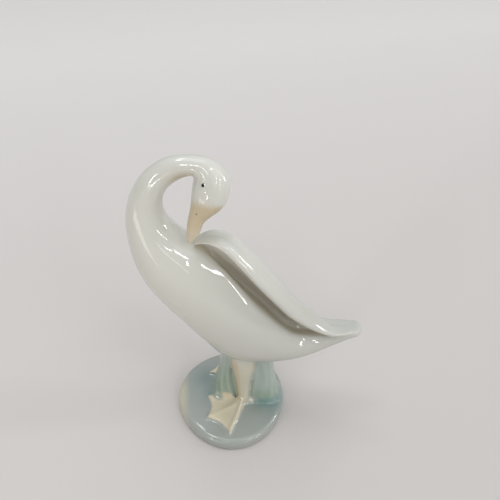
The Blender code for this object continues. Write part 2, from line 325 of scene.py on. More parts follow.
@dataclass
class Skin:
    """Tail, body, breast, neck, head and bill in one skin.

    Each row is one oval section: its end on the back or nape (x, height), its end on the belly, breast or
    throat (x, height), its place across, and its half width. The trough's limits are in degrees round a
    section from the back, apart from its top and narrowing (heights) and its end and run out (along x).
    """

    base_height: float
    rows: list[tuple[float, ...]] = field(
        default_factory=lambda: [
            (48.3, 41.0, 49.5, 37.5, 0.0, 4.4),
            (43.0, 40.0, 44.6, 35.0, 0.0, 4.9),
            (37.5, 39.8, 39.4, 31.5, 0.0, 5.5),
            (31.0, 40.6, 32.2, 28.2, 0.0, 7.4),
            (25.2, 43.6, 23.4, 26.4, 0.0, 9.8),
            (21.6, 47.8, 11.6, 25.9, 0.0, 11.8),
            (18.0, 53.0, -2.3, 29.1, 0.0, 13.2),
            (12.2, 60.0, -11.0, 38.5, 0.0, 13.6),
            (5.1, 68.0, -18.7, 48.9, 0.0, 13.2),
            (-2.0, 75.4, -25.8, 58.6, 0.0, 12.3),
            (-8.6, 81.8, -31.0, 68.0, 0.0, 11.0),
            (-14.4, 85.6, -33.3, 77.0, 0.0, 9.4),
            (-18.2, 89.4, -34.0, 85.0, 0.0, 8.0),
            (-20.2, 93.3, -33.7, 92.0, 0.0, 6.9),
            (-20.7, 97.3, -32.3, 98.2, 0.0, 6.0),
            (-19.8, 101.2, -29.6, 104.0, -0.1, 5.3),
            (-18.3, 103.7, -26.0, 108.8, -0.2, 4.8),
            (-16.5, 105.5, -21.9, 112.0, -0.4, 4.3),
            (-14.0, 107.2, -17.2, 114.4, -0.6, 3.9),
            (-11.9, 108.2, -12.9, 115.0, -0.9, 3.6),
            (-10.2, 108.6, -8.2, 115.0, -1.1, 3.4),
            (-9.4, 108.5, -3.6, 114.2, -1.5, 3.9),
            (-9.6, 107.7, -0.1, 111.5, -2.0, 4.8),
            (-9.9, 106.5, 1.8, 108.4, -2.3, 5.4),
            (-10.3, 104.6, 2.0, 104.4, -2.7, 5.6),
            (-10.7, 102.0, 1.0, 100.7, -3.2, 5.4),
            (-11.0, 99.3, -1.0, 97.8, -3.7, 4.5),
            (-11.6, 96.6, -4.3, 95.4, -4.2, 3.1),
            (-12.2, 94.2, -6.8, 93.3, -4.6, 2.5),
            (-12.8, 91.0, -7.9, 90.8, -5.1, 2.2),
            (-12.9, 88.6, -8.9, 88.2, -5.6, 1.9),
            (-12.9, 86.6, -10.8, 86.4, -5.9, 1.4),
        ]
    )
    tail_round: float = 3.6
    bill_round: float = 0.8
    rings: int = 320
    sides: int = 120
    fairing: int = 12
    trough_depth: float = 3.3
    trough_width: float = 38.0
    trough_narrowing: float = 16.0
    trough_narrows: tuple[float, float] = (58.0, 80.0)
    trough_near: float = 2.0
    trough_far: float = 14.0
    trough_top: tuple[float, float] = (72.0, 83.0)
    trough_end: float = 38.0
    trough_run_out: float = 20.0
    crest_height: float = 0.6
    crest_spread: float = 9.0

    def trough(self, back: tuple[float, float], angles: Array) -> Array:
        """How deep the back is drawn in under the raised wing, with a rounded crest along the hollow.

        Args:
            back: The section's place along the back and its height there.
            angles: Angles round the section from the back, negative on the near side.

        Returns:
            The depth for each angle.
        """
        turn = np.degrees((angles + math.pi) % (2 * math.pi) - math.pi)
        place, height = back
        width = self.trough_width - self.trough_narrowing * float(smoothstep(*self.trough_narrows, height))
        share = 1.0 - smoothstep(self.trough_near, width, -turn)
        share *= 1.0 - smoothstep(0.0, self.trough_far, turn)
        rise = 1.0 - smoothstep(*self.trough_top, height)
        fall = 1.0 - smoothstep(self.trough_end - self.trough_run_out, self.trough_end, place)
        crest = np.exp(-(((-turn - width) / self.crest_spread) ** 2))
        return (self.trough_depth * share - self.crest_height * crest) * rise * fall

    def form(self) -> Form:
        """The skin as a closed form."""
        rows = []
        for back_x, back_z, front_x, front_z, y, width in self.rows:
            middle = ((back_x + front_x) / 2, y, self.base_height + (back_z + front_z) / 2)
            rows.append((*middle, (back_x - front_x) / 2, (back_z - front_z) / 2, width))
        angles = np.arange(self.sides) * 2 * math.pi / self.sides
        rings = []
        for x, y, z, up_x, up_z, width in fair(smooth_rows(rows, self.rings), self.fairing):
            up = np.array([up_x, 0.0, up_z])
            across = np.array([0.0, width, 0.0])
            back = (x + up_x, z + up_z - self.base_height)
            inward = np.outer(self.trough(back, angles), -up / np.linalg.norm(up))
            ring = np.array([x, y, z]) + np.outer(np.cos(angles), up)
            rings.append(ring + np.outer(np.sin(angles), across) + inward)
        return loft("skin", rings, self.tail_round, self.bill_round)


@dataclass
class Wing:
    """One wing: a thick flap with a rolled edge that stands off the back and runs out into the tail.

    Each row gives the centre of the rolled edge (x, height), the section's tilt in degrees, half span, edge
    radius, rise of the back above the edge, depth of the root, and how much lower the far wing lies. Each
    corner of the section is given in shares: across of the half span and of the edge radius, then up of the
    rise, of the root's depth and of the edge radius.
    """

    side: Side
    base_height: float
    rows: list[tuple[float, ...]] = field(
        default_factory=lambda: [
            (-11.0, 83.6, 66.0, 3.6, 0.8, -0.1, 4.0, 8.0),
            (-8.2, 85.4, 62.0, 4.8, 1.2, 0.0, 8.0, 11.0),
            (-4.4, 86.6, 56.0, 6.6, 1.6, 0.0, 12.0, 12.0),
            (-0.8, 85.7, 49.0, 8.0, 1.9, 0.3, 14.0, 10.0),
            (5.0, 80.0, 40.0, 9.3, 2.0, 1.3, 15.0, 6.8),
            (11.0, 71.9, 36.0, 9.5, 2.0, 2.2, 15.0, 6.2),
            (17.6, 63.0, 37.0, 9.0, 2.0, 2.4, 15.0, 5.8),
            (24.0, 54.0, 41.0, 7.6, 1.8, 2.5, 13.0, 5.0),
            (30.0, 47.6, 47.0, 6.0, 1.5, 2.9, 9.0, 3.8),
            (36.0, 42.6, 60.0, 4.8, 1.2, 2.0, 4.6, 2.4),
            (41.5, 40.0, 84.0, 4.3, 0.9, 0.8, 2.0, 0.6),
            (46.5, 40.2, 98.0, 3.8, 0.7, 0.6, 1.4, 0.2),
            (49.8, 40.6, 104.0, 2.4, 0.6, 0.2, 1.2, 0.0),
        ]
    )
    section: list[tuple[float, ...]] = field(
        default_factory=lambda: [
            (-0.5, 0.0, 0.0, -0.38, 0.0),
            (-0.22, 0.0, 0.75, 0.0, -0.35),
            (0.12, 0.0, 1.0, 0.0, 0.06),
            (0.55, 0.0, 0.55, 0.0, 0.52),
            (0.94, 0.0, 0.0, 0.0, 0.97),
            (1.0, 1.0, 0.0, 0.0, 0.0),
            (0.97, 0.0, 0.0, 0.0, -1.0),
            (0.6, 0.0, 0.0, -0.02, -0.75),
            (0.26, 0.0, 0.0, -0.16, -0.6),
            (0.12, 0.0, 0.0, -0.5, 0.0),
            (0.02, 0.0, 0.0, -1.0, 0.0),
            (-0.4, 0.0, 0.0, -0.9, 0.0),
        ]
    )
    far_overlap: float = 0.25
    end_round: float = 1.2
    rings: int = 180
    sides: int = 110
    fairing: int = 14

    def form(self) -> Form:
        """The wing as a closed form."""
        drop = 0.0 if self.side is Side.NEAR else 1.0
        across = np.array([0.0, float(self.side.value), 0.0])
        rings = []
        rows = [(x, 0.0, self.base_height + height, *rest) for x, height, *rest in self.rows]
        sections = fair(smooth_rows(rows, self.rings), self.fairing)
        for x, _, z, tilt, span, radius, rise, root, lower in sections:
            up = np.array([math.cos(math.radians(tilt)), 0.0, math.sin(math.radians(tilt))])
            centre = np.array([x, 0.0, z]) - up * lower * drop
            corners = [
                (out_span * span + out_edge * radius, up_rise * rise + up_root * root + up_edge * radius)
                for out_span, out_edge, up_rise, up_root, up_edge in self.section
            ]
            curve = closed_curve(corners, self.sides)
            if self.side is Side.FAR:
                curve[:, 0] = np.where(curve[:, 0] < 0.0, curve[:, 0] * self.far_overlap, curve[:, 0])
            rings.append(centre + np.outer(curve[:, 0], across) + np.outer(curve[:, 1], up))
        return loft(f"{self.side.name.lower()}_wing", rings, self.end_round, self.end_round)


@dataclass
class Leg:
    """One leg, round, widening into the thigh."""

    side: Side
    base_height: float
    ankle: float = 2.5
    middle: float = 3.0
    thigh: float = 4.8
    flatness: float = 0.9
    middle_height: float = 12.0
    thigh_height: float = 24.0
    top: float = 36.0
    sink: float = 2.0
    x: float = 5.3
    spacing: float = 10.4
    offset: float = 0.5
    rings: int = 50
    sides: int = 48

    def y(self) -> float:
        """The leg's place across."""
        return self.offset + self.side.value * self.spacing / 2

    def form(self) -> Form:
        """The leg as a closed form."""
        rows = [
            (self.x, self.y(), self.base_height + height, depth, depth * flatness)
            for height, depth, flatness in (
                (-self.sink, self.ankle, 1.0),
                (self.sink, self.ankle, 1.0),
                (self.middle_height, self.middle, self.flatness),
                (self.thigh_height, self.thigh, self.flatness),
                (self.top, self.thigh, self.flatness),
            )
        ]
        rings = ovals(smooth_rows(rows, self.rings), self.sides)
        return loft(f"{self.side.name.lower()}_leg", rings, 0.0, 0.0)


@dataclass
class Foot:
    """One webbed foot lying on the base: three toes with a ridge along each and the web drawn in between.

    Each toe is its turn from the middle toe in degrees, inner side first, and its length.
    """

    leg: Leg
    toes: tuple[tuple[float, float], ...] = ((-37.0, 15.7), (0.0, 16.8), (43.5, 15.6))
    web: float = 0.9
    ridge: float = 0.4
    outer_ridge: float = 0.9
    ridge_width: float = 0.9
    toe_half_width: float = 0.75
    heel: float = 2.8
    heel_run: float = 4.5
    edge: float = 0.7
    forward: float = 0.2
    outward: float = 1.8
    near_splay: float = 26.0
    far_splay: float = 49.0
    hollow: float = 0.16
    lift: float = 0.3
    edge_share: float = 0.4
    fullness: float = 0.8
    overhang: float = 16.0
    steps: int = 64
    sweep: int = 140

    def heel_place(self) -> Array:
        """The heel's place in plan."""
        across = self.leg.offset + self.leg.side.value * (self.leg.spacing / 2 + self.outward)
        return np.array([self.leg.x - self.forward, across])

    def facing(self) -> float:
        """The direction of the middle toe in plan, in degrees."""
        splay = self.near_splay if self.leg.side is Side.NEAR else self.far_splay
        return 180.0 - self.leg.side.value * splay

    def reach(self, turns: Array) -> Array:
        """How far the foot reaches from the heel.

        Args:
            turns: Directions in degrees from the middle toe, inner side negative.

        Returns:
            The distances to the foot's outline.
        """
        toe_turns = np.array([turn for turn, _ in self.toes])
        lengths = np.array([length for _, length in self.toes])
        index = np.clip(np.searchsorted(toe_turns, turns, side="right") - 1, 0, len(self.toes) - 2)
        part = np.clip((turns - toe_turns[index]) / (toe_turns[index + 1] - toe_turns[index]), 0.0, 1.0)
        length = lengths[index] + (lengths[index + 1] - lengths[index]) * part
        reach = length * (1.0 - self.hollow * np.sin(math.pi * part) ** self.fullness)
        beyond = np.maximum(np.maximum(toe_turns[0] - turns, turns - toe_turns[-1]), 0.0)
        side = self.toe_half_width / np.sin(np.radians(np.minimum(beyond, 90.0)) + 1e-6)
        return np.minimum(reach, side)

    def polar(self, points: Array) -> tuple[Array, Array]:
        """Distance from the heel and direction from the middle toe of points in plan.

        Args:
            points: The points; only x and y are read.

        Returns:
            The distances, and the turns in degrees with the inner side negative.
        """
        away = points[:, :2] - self.heel_place()
        turn = np.degrees(np.arctan2(away[:, 1], away[:, 0])) - self.facing()
        turn = (turn + 180.0) % 360.0 - 180.0
        return np.hypot(away[:, 0], away[:, 1]), -turn * self.leg.side.value

    def ridge_height(self, away: Array, turns: Array) -> Array:
        """Height of the toes' ridges above the web.

        Args:
            away: Distances from the heel.
            turns: Directions in degrees from the middle toe.

        Returns:
            The heights.
        """
        height = np.zeros_like(away)
        for toe, (turn, _) in enumerate(self.toes):
            tall = self.outer_ridge if toe == len(self.toes) - 1 else self.ridge
            off = away * np.sin(np.radians(np.clip(np.abs(turns - turn), 0.0, 90.0)))
            height = np.maximum(height, tall * np.exp(-((off / self.ridge_width) ** 2)))
        return height

    def form(self) -> Form:
        """The foot as a closed form, a fan of rays from the heel."""
        heel = self.heel_place()
        top = self.leg.base_height
        shares = np.linspace(0.0, 1.0, self.steps) ** self.fullness
        upper, lower = [], []
        turns = np.linspace(self.toes[0][0] - self.overhang, self.toes[-1][0] + self.overhang, self.sweep)
        for turn, reach in zip(turns, self.reach(turns)):
            angle = math.radians(self.facing() - turn * self.leg.side.value)
            away = reach * shares
            ridge = self.ridge_height(away, np.full(self.steps, turn))
            slope = self.heel * np.exp(-((away / self.heel_run) ** 2))
            rounding = np.sqrt(np.clip((away[-1] - away) / self.edge, 0.0, 1.0))
            rounding = self.edge_share + (1.0 - self.edge_share) * rounding
            height = top + self.lift + (self.web + ridge) * rounding + slope
            plan = heel + np.outer(away, [math.cos(angle), math.sin(angle)])
            upper.append(np.column_stack([plan, height]))
            lower.append(np.column_stack([plan, np.full(self.steps, top - self.leg.sink)]))
        points = np.concatenate([*upper, *lower])
        count = self.sweep * self.steps
        faces: list[tuple[int, ...]] = []
        end = self.steps - 1
        for row in range(self.sweep - 1):
            here, there = row * self.steps, (row + 1) * self.steps
            for step in range(end):
                faces.append((here + step, there + step, there + step + 1, here + step + 1))
                under = (here + step, here + step + 1, there + step + 1, there + step)
                faces.append(tuple(corner + count for corner in under))
            faces.append((here + end, there + end, there + end + count, here + end + count))
        last = (self.sweep - 1) * self.steps
        for step in range(end):
            faces.append((step, step + 1, step + 1 + count, step + count))
            faces.append((last + step + 1, last + step, last + step + count, last + step + 1 + count))
        return Form(f"{self.leg.side.name.lower()}_foot", points, faces)


@dataclass
class HindToe:
    """The small claw behind the ankle."""

    leg: Leg
    behind: float = 2.7
    outward: float = 0.4
    rise: float = 0.9
    radii: tuple[float, float, float] = (2.0, 1.3, 1.3)
    tip: float = 0.05
    rings: int = 16
    sides: int = 24

    def form(self) -> Form:
        """The claw as a closed form."""
        y = self.leg.y() + self.leg.side.value * self.outward
        centre = np.array([self.leg.x + self.behind, y, self.leg.base_height + self.rise])
        angles = np.arange(self.sides) * 2 * math.pi / self.sides
        rings = []
        for turn in np.linspace(self.tip, math.pi - self.tip, self.rings):
            x = -self.radii[0] * math.cos(turn)
            across = self.radii[1] * math.sin(turn) * np.cos(angles)
            up = self.radii[2] * math.sin(turn) * np.sin(angles)
            rings.append(centre + np.column_stack([np.full(self.sides, x), across, up]))
        return loft(f"{self.leg.side.name.lower()}_hind_toe", rings, 0.0, 0.0)


@dataclass
class Reeds:
    """One clump of upright blades, softly fluted, drawn in at the belly and spreading over the base.

    Each row is a height, the clump's place along x, its half length and its half width.
    """

    name: str
    base_height: float
    y: float
    rows: list[tuple[float, float, float, float]]
    blades: int = 11
    groove: float = 0.5
    groove_start: float = 5.0
    bend: float = 0.5
    bend_height: float = 11.0
    corner: float = 0.75
    sides: int = 200
    rings: int = 100

    def profile(self) -> Array:
        """Height, x, half length and half width, evenly up the clump."""
        rows = [(0.0, 0.0, *row) for row in self.rows]
        return smooth_rows(rows, self.rings)[:, 2:]

    def crest(self, points: Array) -> Array:
        """How near each point lies to a blade's crest.

        Args:
            points: Points in millimetres.

        Returns:
            1 on a crest and 0 in a groove.
        """
        table = self.profile()
        height = points[:, 2] - self.base_height
        x = np.interp(height, table[:, 0], table[:, 1])
        long = np.interp(height, table[:, 0], table[:, 2])
        wide = np.interp(height, table[:, 0], table[:, 3])
        angle = np.arctan2((points[:, 1] - self.y) / wide, (points[:, 0] - x) / long)
        return 0.5 + 0.5 * np.cos((angle + self.twist(height)) * self.blades)

    def square(self, part: Array) -> Array:
        """Draw a sine or cosine out towards a square, so that the clump has fuller corners."""
        return np.sign(part) * np.abs(part) ** self.corner

    def twist(self, height: Array | float) -> Array:
        """How far the blades lean round the clump at each height, in radians."""
        return self.bend * np.sin(height / self.bend_height)

    def form(self) -> Form:
        """The clump as a closed form."""
        angles = np.arange(self.sides) * 2 * math.pi / self.sides
        rings = []
        for height, x, half_length, half_width in self.profile():
            wave = 0.5 - 0.5 * np.cos((angles + self.twist(height)) * self.blades)
            depth = self.groove * float(smoothstep(0.0, self.groove_start, height))
            plan_x = x + (half_length - depth * wave) * self.square(np.cos(angles))
            plan_y = self.y + (half_width - depth * wave) * self.square(np.sin(angles))
            rings.append(np.column_stack([plan_x, plan_y, np.full(self.sides, self.base_height + height)]))
        return loft(self.name, rings, 0.0, 0.0)


@dataclass
class Casting:
    """How the forms become one surface: the fusing's voxel size, and how the glaze rounds its edges."""

    voxel: float = 0.52
    softening: int = 12
    shrink_and_swell: tuple[float, float] = (0.6, -0.61)
    flat_below: float = 0.1

    def fused(self, forms: list[Form]) -> bpy.types.Object:
        """Fuse the forms into one mesh object.

        Args:
            forms: The closed forms, overlapping where they join.

        Returns:
            The object, in metres, in the frame.
        """
        points: list[Array] = []
        faces: list[tuple[int, ...]] = []
        count = 0
        for form in forms:
            points.append(form.points * MM)
            faces.extend(tuple(corner + count for corner in face) for face in form.faces)
            count += len(form.points)
        data = bpy.data.meshes.new("glazed_swan")
        data.from_pydata(np.concatenate(points).tolist(), [], faces)
        thing = bpy.data.objects.new("glazed_swan", data)
        bpy.context.scene.collection.objects.link(thing)
        remesh = thing.modifiers.new("cast", "REMESH")
        remesh.mode = "VOXEL"
        remesh.voxel_size = self.voxel * MM
        remesh.use_smooth_shade = True
        graph = bpy.context.evaluated_depsgraph_get()
        solid = bpy.data.meshes.new_from_object(thing.evaluated_get(graph))
        thing.modifiers.remove(remesh)
        thing.data = solid
        bpy.data.meshes.remove(data)
        return thing

    def soften(self, mesh: bpy.types.Mesh) -> None:
        """Round every edge as a thick glaze does, without shrinking the form.

        Args:
            mesh: The fused mesh, changed in place.
        """
        points = read_points(mesh)
        edges = np.empty(len(mesh.edges) * 2, dtype=np.int32)
        mesh.edges.foreach_get("vertices", edges)
        edges = edges.reshape(-1, 2)
        flat = points[:, 2] < self.flat_below * self.voxel * MM
        for _ in range(self.softening):
            for factor in self.shrink_and_swell:
                points = points + factor * (neighbour_mean(points, edges) - points)
                points[flat, 2] = np.maximum(points[flat, 2], 0.0)
        points[:, 2] = np.maximum(points[:, 2], 0.0)
        write_points(mesh, points)


def read_points(mesh: bpy.types.Mesh) -> Array:
    """The mesh's points as an array."""
    points = np.empty(len(mesh.vertices) * 3, dtype=np.float32)
    mesh.vertices.foreach_get("co", points)
    return points.reshape(-1, 3).astype(float)


def write_points(mesh: bpy.types.Mesh, points: Array) -> None:
    """Put an array of points back into the mesh."""
    mesh.vertices.foreach_set("co", points.astype(np.float32).ravel())
    mesh.update()


def neighbour_mean(values: Array, edges: Array) -> Array:
    """The mean of each point's neighbours.

    Args:
        values: One row for each point.
        edges: Pairs of point numbers.

    Returns:
        The means, one row for each point.
    """
    count = len(values)
    ends = np.concatenate([edges[:, 0], edges[:, 1]])
    others = np.concatenate([edges[:, 1], edges[:, 0]])
    sums = [np.bincount(ends, values[others, axis], count) for axis in range(values.shape[1])]
    degree = np.bincount(ends, minlength=count).clip(min=1)
    return np.stack(sums, axis=1) / degree[:, None]


def add_node(
    tree: bpy.types.NodeTree,
    kind: str,
    settings: dict[str, Any] | None = None,
    values: dict[Any, Any] | None = None,
    links: dict[Any, Link] | None = None,
) -> bpy.types.Node:
    """Add one node with its settings, socket values and incoming links.

    Args:
        tree: The node tree.
        kind: The node's type.
        settings: Properties of the node.
        values: Values of its input sockets, by name or number.
        links: What feeds its input sockets: a node and the name or number of its output.

    Returns:
        The node.
    """
    node = tree.nodes.new(kind)
    for name, value in (settings or {}).items():
        setattr(node, name, value)
    for name, value in (values or {}).items():
        node.inputs[name].default_value = value
    for name, (source, output) in (links or {}).items():
        tree.links.new(source.outputs[output], node.inputs[name])
    return node


@dataclass(frozen=True)
class GlazedPorcelain:
    """Hard-paste porcelain, slip-cast, painted under the glaze and fired glossy.

    The body is a slightly greenish cool white. Warm painted shade is laid into its deep hollows, and grey
    painted shade over the body towards the tail and the belly. The glaze is a thin glass: sharp window-like
    reflections over a soft matt white. The underside is bisque, left unglazed, and so it is matt. An edge is
    where a painted spot begins to fade and where it has gone, in shares of its radii. The hollow's edge is
    the same, in shares of open sky.
    """

    white: str = "#CECEC6"
    # Painted shade: this warm tint is multiplied into the colour where the occlusion node finds hollows.
    hollow: str = "#FBF2E2"
    hollow_reach: float = 9.0
    hollow_edge: tuple[float, float] = (0.15, 0.8)
    hollow_share: float = 0.9
    roughness: float = 0.4
    gloss_under_glaze: float = 0.2
    glaze_roughness: float = 0.03
    glaze_ior: float = 1.5
    eye: str = "#15130F"
    eye_edge: tuple[float, float] = (0.85, 1.12)
    lid_edge: tuple[float, float] = (1.2, 2.9)
    nostril: str = "#6B5F4B"
    nostril_edge: tuple[float, float] = (0.6, 1.3)
    nostril_share: float = 0.8
    stroke_width: float = 7.7
    stroke_range: tuple[float, float] = (0.35, 0.65)
    thin_stroke: float = 0.72
    brushed: tuple[Zone, ...] = (Zone.DARK, Zone.TEAL, Zone.RIM, Zone.GREEN)
    paint: tuple[tuple[Zone, str], ...] = (
        # Painted shade: grey over the body towards the tail and the belly.
        (Zone.BODY, "#BABAB3"),
        (Zone.BASE, "#989D98"),
        (Zone.DARK, "#7C8C89"),
        (Zone.TEAL, "#628783"),
        (Zone.RIM, "#BBB6A0"),
        (Zone.REED, "#9DABA5"),
        (Zone.GREEN, "#7E9379"),
        (Zone.STRIPE, "#A5AEA4"),
        (Zone.LEG, "#C2BFAE"),
        (Zone.SHANK, "#BFB194"),
        (Zone.FOOT, "#C9C0A7"),
        (Zone.TOE, "#C9C2AD"),
        (Zone.BILL, "#C4B598"),
        # Painted shade on the bill, darker brown.
        (Zone.BILL_SHADE, "#B0A384"),
        # Painted shade under the neck's curl, warm grey.
        (Zone.NECK_SHADE, "#B7AD97"),
    )

    @staticmethod
    def near_spots(tree: bpy.types.NodeTree, spots: "PaintedSpots") -> Link:
        """How far each place is from the nearest of two painted spots, in shares of the spot's radii.

        Args:
            tree: The node tree.
            spots: Where the spots are and how large.

        Returns:
            The share, 1 on the spot's edge.
        """
        place = add_node(tree, "ShaderNodeTexCoord")
        found: dict[int, Link] = {}
        for number, centre in enumerate(spots.centres()):
            local = add_node(
                tree,
                "ShaderNodeMapping",
                {"vector_type": "TEXTURE"},
                {
                    "Location": [value * MM for value in centre],
                    "Rotation": (0.0, math.radians(spots.turn), 0.0),
                    "Scale": [value * MM for value in spots.radii],
                },
                {"Vector": (place, "Object")},
            )
            away = add_node(tree, "ShaderNodeVectorMath", {"operation": "LENGTH"}, links={0: (local, 0)})
            found[number] = (away, "Value")
        return add_node(tree, "ShaderNodeMath", {"operation": "MINIMUM"}, links=found), 0

    @staticmethod
    def spotted(
        tree: bpy.types.NodeTree,
        colour: Link,
        near: Link,
        code: str,
        edge: tuple[float, float],
        share: float = 1.0,
    ) -> Link:
        """Paint a pair of spots over the colour.

        Args:
            tree: The node tree.
            colour: The colour so far.
            near: How far each place is from the nearest spot.
            code: The spots' sRGB colour.
            edge: Where a spot begins to fade and where it has gone.
            share: How well a spot covers what is under it.

        Returns:
            The colour with the spots.
        """
        spot = add_node(
            tree,
            "ShaderNodeMapRange",
            {"interpolation_type": "SMOOTHSTEP"},
            {"From Min": edge[0], "From Max": edge[1], "To Min": share, "To Max": 0.0},
            {"Value": near},
        )
        paint, links = {OVER: hex_to_linear(code)}, {FACTOR: (spot, "Result"), UNDER: colour}
        return add_node(tree, "ShaderNodeMix", {"data_type": "RGBA"}, paint, links), MIXED

    def painted(self, tree: bpy.types.NodeTree) -> Link:
        """The white with every zone's colour over it, some laid on with a brush that leaves soft strokes.

        Args:
            tree: The node tree.

        Returns:
            The colour.
        """
        place = add_node(tree, "ShaderNodeTexCoord")
        scale = 1.0 / (self.stroke_width * MM)
        brush = add_node(
            tree,
            "ShaderNodeTexNoise",
            values={"Scale": scale, "Detail": 3.0, "Roughness": 0.55, "Distortion": 0.6},
            links={"Vector": (place, "Object")},
        )
        thin, thick = self.stroke_range
        stroke = add_node(
            tree,
            "ShaderNodeMapRange",
            values={"From Min": thin, "From Max": thick, "To Min": self.thin_stroke, "To Max": 1.0},
            links={"Value": (brush, 0)},
        )
        under: dict[int, Link] = {}
        for zone, code in self.paint:
            mask: Link = (add_node(tree, "ShaderNodeAttribute", {"attribute_name": zone.value}), "Fac")
            if zone in self.brushed:
                strokes = {0: mask, 1: (stroke, "Result")}
                mask = (add_node(tree, "ShaderNodeMath", {"operation": "MULTIPLY"}, links=strokes), 0)
            colours = {UNDER: hex_to_linear(self.white), OVER: hex_to_linear(code)}
            layer = add_node(tree, "ShaderNodeMix", {"data_type": "RGBA"}, colours, {FACTOR: mask, **under})
            under = {UNDER: (layer, MIXED)}
        return under[UNDER]

    def painted_hollow_shade(self, tree: bpy.types.NodeTree, colour: Link) -> Link:
        """Paint warm shade into the colour in hollows, where an occlusion node finds little open sky, but
        not on the base.

        Args:
            tree: The node tree.
            colour: The colour so far.

        Returns:
            The colour with painted shade in its hollows.
        """
        # Painted shade in hollows, from how little open sky an occlusion node finds within the reach.
        reach = {"Distance": self.hollow_reach * MM}
        open_sky = add_node(tree, "ShaderNodeAmbientOcclusion", {"samples": 8}, reach)
        shut, clear = self.hollow_edge
        depth = add_node(
            tree,
            "ShaderNodeMapRange",
            {"interpolation_type": "SMOOTHSTEP"},
            {"From Min": shut, "From Max": clear, "To Min": self.hollow_share, "To Max": 0.0},
            {"Value": (open_sky, "AO")},
        )
        base = add_node(tree, "ShaderNodeAttribute", {"attribute_name": Zone.BASE.value})
        above = add_node(tree, "ShaderNodeMath", {"operation": "SUBTRACT"}, {0: 1.0}, {1: (base, "Fac")})
        both = {0: (depth, "Result"), 1: (above, 0)}
        hollow_shade_share = add_node(tree, "ShaderNodeMath", {"operation": "MULTIPLY"}, links=both)
        hollow_shaded = add_node(
            tree,
            "ShaderNodeMix",
            {"data_type": "RGBA", "blend_type": "MULTIPLY"},
            {OVER: hex_to_linear(self.hollow)},
            {FACTOR: (hollow_shade_share, 0), UNDER: colour},
        )
        return hollow_shaded, MIXED

    def material(self, eyes: "PaintedSpots", nostrils: "PaintedSpots") -> bpy.types.Material:
        """The material with its masks read from the mesh.

        Args:
            eyes: The painted eyes.
            nostrils: The painted nostrils.

        Returns:
            The material.
        """
        material = bpy.data.materials.new("glazed_porcelain")
        material.use_nodes = True
        tree = material.node_tree
        shader = tree.nodes["Principled BSDF"]
        # The painted zones, then painted shade in the hollows over them.
        colour = self.painted_hollow_shade(tree, self.painted(tree))
        eye, nostril = self.near_spots(tree, eyes), self.near_spots(tree, nostrils)
        colour = self.spotted(tree, colour, eye, self.eye, self.eye_edge)
        colour = self.spotted(tree, colour, nostril, self.nostril, self.nostril_edge, self.nostril_share)
        raised, level = self.lid_edge
        lid = add_node(
            tree,
            "ShaderNodeMapRange",
            {"interpolation_type": "SMOOTHSTEP"},
            {"From Min": raised, "From Max": level, "To Min": eyes.lid * MM, "To Max": 0.0},
            {"Value": eye},
        )
        bump = add_node(tree, "ShaderNodeBump", values={"Distance": 1.0}, links={"Height": (lid, "Result")})
        bisque = add_node(tree, "ShaderNodeAttribute", {"attribute_name": Zone.BISQUE.value})
        glazed = add_node(tree, "ShaderNodeMath", {"operation": "SUBTRACT"}, {0: 1.0}, {1: (bisque, "Fac")})
        for socket, (source, output) in {
            "Base Color": colour,
            "Coat Weight": (glazed, 0),
            "Normal": (bump, 0),
            "Coat Normal": (bump, 0),
        }.items():
            tree.links.new(source.outputs[output], shader.inputs[socket])
        shader.inputs["Roughness"].default_value = self.roughness
        shader.inputs["Specular IOR Level"].default_value = self.gloss_under_glaze
        shader.inputs["Coat Roughness"].default_value = self.glaze_roughness
        shader.inputs["Coat IOR"].default_value = self.glaze_ior
        return material


@dataclass(frozen=True)
class PaintedSpots:
    """A pair of painted oval spots, one on each side of the head, with a low moulded lid round each."""

    place: tuple[float, float, float]
    apart: float
    radii: tuple[float, float, float]
    turn: float
    lid: float = 0.0

    def centres(self) -> list[tuple[float, float, float]]:
        """The centres of the two spots, near side first."""
        x, y, z = self.place
        return [(x, y + side.value * self.apart, z) for side in Side]


EYES = PaintedSpots((-6.3, -2.4, 113.0), 4.8, (0.48, 1.8, 0.68), 34.0, 0.16)
NOSTRILS = PaintedSpots((-8.9, -3.7, 102.8), 3.3, (0.28, 1.0, 0.45), 20.0)


def write_mask(mesh: bpy.types.Mesh, zone: Zone, values: Array) -> None:
    """Store one zone's mask on the mesh's points."""
    attribute = mesh.attributes.new(zone.value, "FLOAT", "POINT")
    attribute.data.foreach_set("value", values.astype(np.float32))


def distances(tree: BVHTree, points: Array) -> Array:
    """Distance of each point, in millimetres, from the form that the tree holds."""
    return np.array([tree.find_nearest(Vector(point))[3] for point in points])


@dataclass(frozen=True)
class Blend:
    """A soft change from 0 to 1 across the casting: along a direction, from one distance to another."""

    direction: tuple[float, float, float]
    start: float
    end: float

    def share(self, points: Array) -> Array:
        """How far the change has come at each point."""
        return smoothstep(self.start, self.end, points @ np.array(self.direction))


def upward(start: float, end: float) -> Blend:
    """A change that goes up, between two heights over the floor."""
    return Blend((0.0, 0.0, 1.0), start, end)


@dataclass(frozen=True)
class Wash:
    """A soft round patch of brushed colour on the base: its middle, how far it spreads, and its strength."""

    x: float
    y: float
    spread: float
    strength: float = 1.0

    def share(self, points: Array) -> Array:
        """Its strength at each point."""
        away = (points[:, 0] - self.x) ** 2 + (points[:, 1] - self.y) ** 2
        return self.strength * np.exp(-away / (2.0 * self.spread**2))


